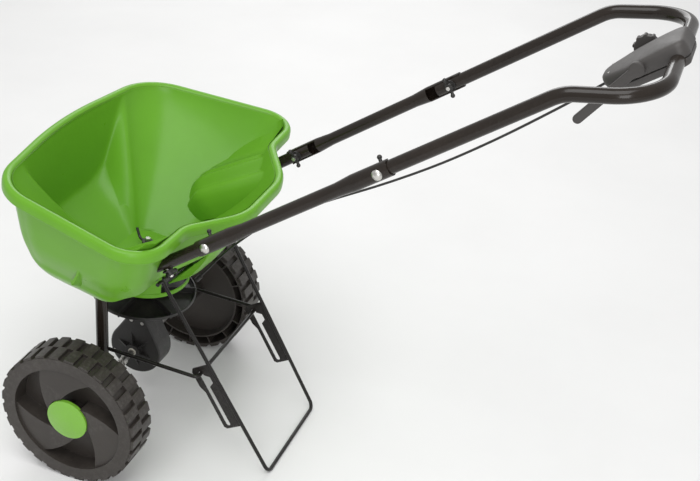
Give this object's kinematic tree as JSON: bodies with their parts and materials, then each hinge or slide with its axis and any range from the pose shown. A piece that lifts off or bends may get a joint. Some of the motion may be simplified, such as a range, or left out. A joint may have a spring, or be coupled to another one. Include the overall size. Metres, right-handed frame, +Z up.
{
  "type": "push broadcast spreader",
  "caption": "Push broadcast spreader: lime hopper on a black tube frame, two wheels driving a spinner disc through a bevel gearbox, wire stand and trigger-worked gate.",
  "frame": {"origin": "on the ground, straight below the middle of the axle", "axes": "+X along the axle towards the driven wheel, +Y rearwards to the push handle, +Z up"},
  "size_m": [0.516, 0.9197, 0.8017],
  "materials": {
    "hopper_green": "glossy moulded polypropylene, lime green",
    "tube_black": "gloss black powder coat",
    "steel_zinc": "bright zinc plate",
    "wheel_black": "satin charcoal black, moulded",
    "cap_green": "glossy lime green",
    "part_black": "satin black, moulded",
    "box_grey": "fine matt charcoal grey",
    "gear_plastic": "natural nylon, satin",
    "wire_black": "satin black coated wire"
  },
  "bodies": {
    "frame": {"hopper": "hopper_green", "right_frame_tube": "tube_black", "left_frame_tube": "tube_black", "right_lower_handle": "tube_black", "left_lower_handle": "tube_black", "upper_handle": "tube_black", "handle_bolts": "steel_zinc", "handle_wing_nuts": "part_black", "hopper_studs": "steel_zinc", "hopper_wing_knobs": "part_black", "leg_bushes": "part_black", "right_gearbox_half": "part_black", "left_gearbox_half": "part_black", "gearbox_screws": "steel_zinc", "gearbox_bushes": "gear_plastic", "spinner_bush": "gear_plastic", "gate_guide": "part_black", "gate_guide_screws": "steel_zinc", "cable_anchor": "part_black", "control_cable": "wire_black", "stand_clip_pads": "part_black", "control_box_cover": "box_grey", "control_box_base": "box_grey", "control_box_screws": "steel_zinc", "trigger_spring": "steel_zinc"},
    "drive_axle": {"axle": "steel_zinc", "right_wheel": "wheel_black", "right_hub_cap": "cap_green", "wheel_drive_pin": "steel_zinc", "axle_split_pins": "steel_zinc", "axle_collars": "steel_zinc", "axle_washers": "part_black", "axle_bevel_gear": "gear_plastic", "bevel_gear_pin": "steel_zinc", "axle_end_clips": "steel_zinc"},
    "idle_wheel": {"left_wheel": "wheel_black", "left_hub_cap": "cap_green"},
    "spinner": {"spinner_shaft": "steel_zinc", "spinner_pinion": "gear_plastic", "spinner_disc": "part_black", "agitator": "part_black", "shaft_cross_pins": "steel_zinc"},
    "stand": {"stand_frame": "wire_black", "right_stand_plate": "wire_black", "left_stand_plate": "wire_black"},
    "strut": {"stand_strut": "wire_black"},
    "trigger": {"trigger_lever": "box_grey"},
    "gate": {"gate_plate": "part_black", "cable_wire_end": "steel_zinc"},
    "dial": {"flow_dial": "box_grey"}
  },
  "joints": [
    {"name": "axle_spin", "type": "hinge", "parent": "frame", "child": "drive_axle", "pos_m": [0, 0, 0.115], "axis": [1, 0, 0], "continuous": true},
    {"name": "idle_wheel_spin", "type": "hinge", "parent": "drive_axle", "child": "idle_wheel", "pos_m": [-0.2, 0, 0.115], "axis": [1, 0, 0], "continuous": true},
    {"name": "spinner_spin", "type": "hinge", "parent": "frame", "child": "spinner", "pos_m": [0, 0, 0.115], "axis": [0, 0.1045, 0.9945], "continuous": true},
    {"name": "stand_fold", "type": "hinge", "parent": "frame", "child": "stand", "pos_m": [0, 0.103, 0.323], "axis": [1, 0, 0], "range_deg": [-20, 0]},
    {"name": "strut_fold", "type": "hinge", "parent": "frame", "child": "strut", "pos_m": [0, 0.004, 0.174], "axis": [1, 0, 0], "range_deg": [-40, 0]},
    {"name": "trigger_squeeze", "type": "hinge", "parent": "frame", "child": "trigger", "pos_m": [0.04, 0.72838, 0.75601], "axis": [1, 0, 0], "range_deg": [-25, 0], "stiffness_Nm_per_rad": 0.5, "springref_deg": 8.59},
    {"name": "gate_slide", "type": "slide", "parent": "frame", "child": "gate", "axis": [0, 0.9877, -0.1564], "range_m": [0, 0.014]},
    {"name": "dial_turn", "type": "hinge", "parent": "frame", "child": "dial", "pos_m": [-0.04, 0.72838, 0.75601], "axis": [1, 0, 0], "range_deg": [0, 270]}
  ],
  "couplings": [
    {"joint": "spinner_spin", "follows": "axle_spin", "ratio": -3},
    {"joint": "strut_fold", "follows": "stand_fold", "ratio": 2},
    {"joint": "gate_slide", "follows": "trigger_squeeze", "m_per_rad": -0.03204}
  ]
}
